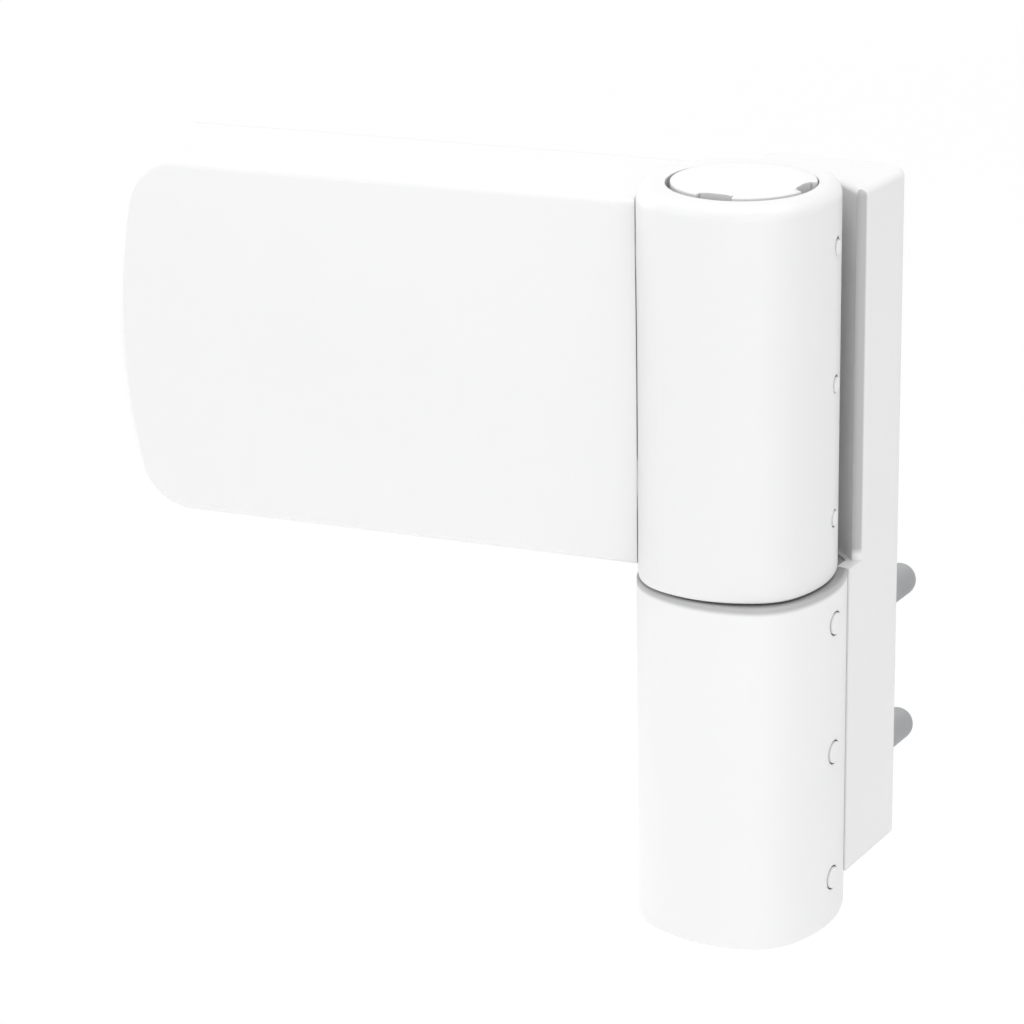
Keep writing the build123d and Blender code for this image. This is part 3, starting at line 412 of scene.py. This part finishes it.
# White plastic: painted shade in narrow places, reaching 20 mm, and a darker edge colour as a
# painted shade line along its edges
PLASTIC = finish_material(
    "White plastic",
    PLASTIC_WHITE,
    0.42,
    1600.0,
    0.012 * MM,
    crevice_reach=20 * MM,
    crevice_tone=0.7,
    edge_color=(0.66, 0.66, 0.665, 1),
)
ZINC = finish_material(
    "Grey zinc",
    ZINC_GREY,
    0.42,
    1800.0,
    0.03 * MM,
    metallic=1.0,
    shade=0.82,
    edge_color=(0.62, 0.62, 0.63, 1),
    spread=0.08,
)
STEEL = finish_material(
    "Bright steel",
    STEEL_GREY,
    0.3,
    3500.0,
    0.01 * MM,
    metallic=1.0,
    shade=0.88,
    edge_color=(0.75, 0.75, 0.75, 1),
)
ALLOY = finish_material(
    "Cast alloy",
    ALLOY_GREY,
    0.46,
    1500.0,
    0.03 * MM,
    metallic=1.0,
    shade=0.85,
    edge_color=(0.74, 0.74, 0.75, 1),
    spread=0.07,
)
BEARING = finish_material(
    "Bearing plastic", BEARING_BLACK, 0.5, 2200.0, 0.015 * MM, edge_color=(0.05, 0.05, 0.052, 1)
)

FINISH_OF_SLOT = {
    "white_enamel": ENAMEL,
    "white_plastic": PLASTIC,
    "grey_zinc": ZINC,
    "bright_steel": STEEL,
    "bearing_plastic": BEARING,
    "cast_alloy": ALLOY,
}
# The cover and the lower barrel take copies of the enamel with painted light and shade
FINISH_OF_NODE = {"frame_cover": COVER_ENAMEL_PAINTED_SHADE, "frame_bracket": BARREL_ENAMEL_PAINTED_LIGHT_AND_SHADE}

SLOT_OF_NODE = {
    subpart["node"]: subpart["material_slot"] for subpart in frame["record"]["subparts"]
}
BODY_OF_NODE = {
    node: body
    for body, names in frame["record"]["behaviour"]["bodies"].items()
    for node in names
}


def dress_nodes():
    """Gives every CAD node the finish of its slot in the record, or one of its own."""
    for node, slot in SLOT_OF_NODE.items():
        mesh = nodes[node].data
        mesh.materials.clear()
        mesh.materials.append(FINISH_OF_NODE.get(node, FINISH_OF_SLOT[slot]))


def new_piece(name, form, node, smooth=35.0):
    """Makes a piece of the form; it stands for a CAD node, on its body and with its finish."""
    mesh = bpy.data.meshes.new(name)
    bmesh.ops.recalc_face_normals(form, faces=form.faces)
    form.to_mesh(mesh)
    form.free()
    mesh.shade_smooth()
    mesh.set_sharp_from_angle(angle=smooth * DEG)
    piece = bpy.data.objects.new(name, mesh)
    bpy.context.scene.collection.objects.link(piece)
    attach(piece, BODY_OF_NODE[node])
    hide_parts(node)
    mesh.materials.append(FINISH_OF_SLOT[SLOT_OF_NODE[node]])
    return piece


def turned_form(form, profile, steps):
    """Turns a profile of radius and height once round the vertical axis; gives its vertices."""
    line = [form.verts.new((radius, 0, height)) for radius, height in profile]
    edges = [form.edges.new(pair) for pair in zip(line, line[1:])]
    before = set(form.verts) - set(line)
    bmesh.ops.spin(
        form,
        geom=line + edges,
        cent=(0, 0, 0),
        axis=(0, 0, 1),
        angle=math.tau,
        steps=steps,
        use_merge=True,
    )
    made = [vert for vert in form.verts if vert not in before]
    bmesh.ops.remove_doubles(form, verts=made, dist=0.0005 * MM)
    return [vert for vert in form.verts if vert not in before]


def add_top_cap():
    """Cap in the mouth of the upper barrel, with a rounded edge and a notch on two sides."""
    form = bmesh.new()
    inside = CAP_RADIUS - CAP_NOTCH_REACH
    profile = (
        (0, 0),
        (inside - 0.05 * MM, 0),
        (inside, 0),
        (CAP_RADIUS - CAP_EDGE, 0),
        (CAP_RADIUS - 0.06 * MM, -0.06 * MM),
        (CAP_RADIUS, -CAP_EDGE),
        (CAP_RADIUS, -CAP_SKIRT),
    )
    turned_form(form, profile, CAP_STEPS)
    for vert in form.verts:
        radius = vert.co.xy.length
        if vert.co.z < -CAP_NOTCH_DEPTH or radius < inside - 0.1 * MM:
            continue
        turn = math.degrees(math.atan2(vert.co.y, vert.co.x))
        share = min(abs(turn - notch) / CAP_NOTCH_HALF for notch in CAP_NOTCH_TURNS)
        if share >= 1:
            continue
        # The notch is widest in its middle and closes in a round at both ends
        back = CAP_NOTCH_REACH * (1 - math.sqrt(1 - share**4))
        if radius < inside + 0.1 * MM:
            vert.co.xy *= min(radius + back, CAP_RADIUS - 0.21 * MM) / radius
        if radius > inside - 0.01 * MM and back < CAP_NOTCH_REACH - 0.22 * MM:
            vert.co.z = -CAP_NOTCH_DEPTH
    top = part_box("sash_knuckle")[1].z + CAP_RISE
    place = PIN + Vector((CAP_SHIFT[0], CAP_SHIFT[1], top))
    bmesh.ops.translate(form, verts=form.verts, vec=place)
    return new_piece("top_cap_disc", form, "top_cap")


def add_plugs(name, node, directions, face, radius, heights):
    """Row of small domed plugs in the side of a barrel, which faces the first direction."""
    outward, along = directions
    turn = Matrix((along, Vector((0, 0, 1)), outward)).transposed()
    form = bmesh.new()
    profile = (
        (0, 0.08 * MM),
        (0.5 * radius, 0.06 * MM),
        (radius - 0.15 * MM, 0),
        (radius - 0.04 * MM, -0.04 * MM),
        (radius, -0.15 * MM),
        (radius, -PLUG_DEPTH),
    )
    for height in heights:
        verts = turned_form(form, profile, PLUG_STEPS)
        place = PIN + outward * (face + PLUG_RISE) + along * PLUG_Y + Vector((0, 0, height))
        bmesh.ops.transform(
            form, matrix=Matrix.Translation(place) @ turn.to_4x4(), verts=verts
        )
    return new_piece(name, form, node)


def add_camera():
    """Camera at the photograph's place, aim and lens."""
    azimuth = CAMERA_AZIMUTH * DEG
    elevation = CAMERA_ELEVATION * DEG
    roll = CAMERA_ROLL * DEG
    look = Vector(
        (
            -math.sin(azimuth) * math.cos(elevation),
            math.cos(azimuth) * math.cos(elevation),
            -math.sin(elevation),
        )
    )
    level = Vector((math.cos(azimuth), math.sin(azimuth), 0))
    upright = level.cross(look)
    right = level * math.cos(roll) + upright * math.sin(roll)
    up = upright * math.cos(roll) - level * math.sin(roll)
    data = bpy.data.cameras.new("camera")
    data.sensor_width = SENSOR_MM
    data.lens = FOCAL_PIXELS / PHOTO_PIXELS * SENSOR_MM
    data.clip_start = 0.01
    data.clip_end = 20
    camera = bpy.data.objects.new("camera", data)
    bpy.context.scene.collection.objects.link(camera)
    turn = Matrix((right, up, -look)).transposed()
    camera.matrix_world = Matrix.Translation(CAMERA_PLACE) @ turn.to_4x4()
    bpy.context.scene.camera = camera


def add_lamp(name, place, aim, size, power):
    """Square soft lamp at a place, turned to its aim."""
    data = bpy.data.lights.new(name, "AREA")
    data.size = size
    data.energy = power
    lamp = bpy.data.objects.new(name, data)
    bpy.context.scene.collection.objects.link(lamp)
    lamp.location = place
    lamp.rotation_mode = "QUATERNION"
    lamp.rotation_quaternion = (Vector(aim) - Vector(place)).to_track_quat("-Z", "Y")


def white_rays(tree):
    """One for rays that see the background as it is: straight, mirrored or through glass."""
    paths = tree.nodes.new("ShaderNodeLightPath")
    direct = math_node(
        tree, "MAXIMUM", paths.outputs["Is Camera Ray"], paths.outputs["Is Transmission Ray"]
    )
    return math_node(tree, "MAXIMUM", direct, paths.outputs["Is Glossy Ray"])


def add_world():
    """Even pale surroundings, shown as white to the camera and in reflections."""
    world = bpy.data.worlds.new("studio")
    bpy.context.scene.world = world
    world.use_nodes = True
    tree = world.node_tree
    background = tree.nodes["Background"]
    background.inputs["Color"].default_value = (1, 1, 1, 1)
    seen = white_rays(tree)
    level = tree.nodes.new("ShaderNodeMapRange")
    level.inputs["To Min"].default_value = WORLD_LEVEL
    level.inputs["To Max"].default_value = 1.0
    tree.links.new(seen, level.inputs["Value"])
    tree.links.new(level.outputs["Result"], background.inputs["Strength"])


def add_floor():
    """Pale floor under the hinge; it is white to the camera and keeps a faint shadow."""
    low, high = cad_box
    mesh = bpy.data.meshes.new("floor")
    form = bmesh.new()
    bmesh.ops.create_grid(form, x_segments=1, y_segments=1, size=FLOOR_HALF)
    form.to_mesh(mesh)
    form.free()
    floor = bpy.data.objects.new("floor", mesh)
    floor.location = (0, 0, low.z - FLOOR_DROP)
    bpy.context.scene.collection.objects.link(floor)
    material = bpy.data.materials.new("Pale floor")
    material.use_nodes = True
    tree = material.node_tree
    shader = tree.nodes["Principled BSDF"]
    shader.inputs["Base Color"].default_value = (FLOOR_TONE, FLOOR_TONE, FLOOR_TONE, 1)
    shader.inputs["Roughness"].default_value = 0.9
    glow = tree.nodes.new("ShaderNodeEmission")
    glow.inputs["Strength"].default_value = 1.0
    blend = tree.nodes.new("ShaderNodeMixShader")
    distance = tree.nodes.new("ShaderNodeVectorMath")
    distance.operation = "LENGTH"
    tree.links.new(
        tree.nodes.new("ShaderNodeTexCoord").outputs["Object"], distance.inputs[0]
    )
    glow_share = range_node(
        tree, distance.outputs["Value"], FLOOR_NEAR, FLOOR_FAR, FLOOR_GLOW_NEAR, FLOOR_GLOW_FAR
    )
    share = math_node(tree, "MULTIPLY", white_rays(tree), glow_share)
    tree.links.new(share, blend.inputs["Fac"])
    tree.links.new(shader.outputs["BSDF"], blend.inputs[1])
    tree.links.new(glow.outputs["Emission"], blend.inputs[2])
    tree.links.new(blend.outputs["Shader"], tree.nodes["Material Output"].inputs["Surface"])
    mesh.materials.append(material)


dress_nodes()
add_top_cap()
add_plugs(
    "lower_plugs",
    "lower_side_plugs",
    (Vector((1, 0, 0)), Vector((0, 1, 0))),
    LOWER_PLUG_FACE,
    LOWER_PLUG_RADIUS,
    LOWER_PLUG_HEIGHTS,
)
add_plugs(
    "upper_plugs",
    "upper_side_plugs",
    (SASH_X, SASH_Y),
    UPPER_PLUG_FACE,
    UPPER_PLUG_RADIUS,
    UPPER_PLUG_HEIGHTS,
)
add_camera()
add_world()
add_floor()
middle = (cad_box[0] + cad_box[1]) / 2
for lamp_name, lamp_place, width, power in LAMPS:
    add_lamp(lamp_name, lamp_place, middle, width, power)

bpy.context.scene.view_settings.view_transform = "Standard"
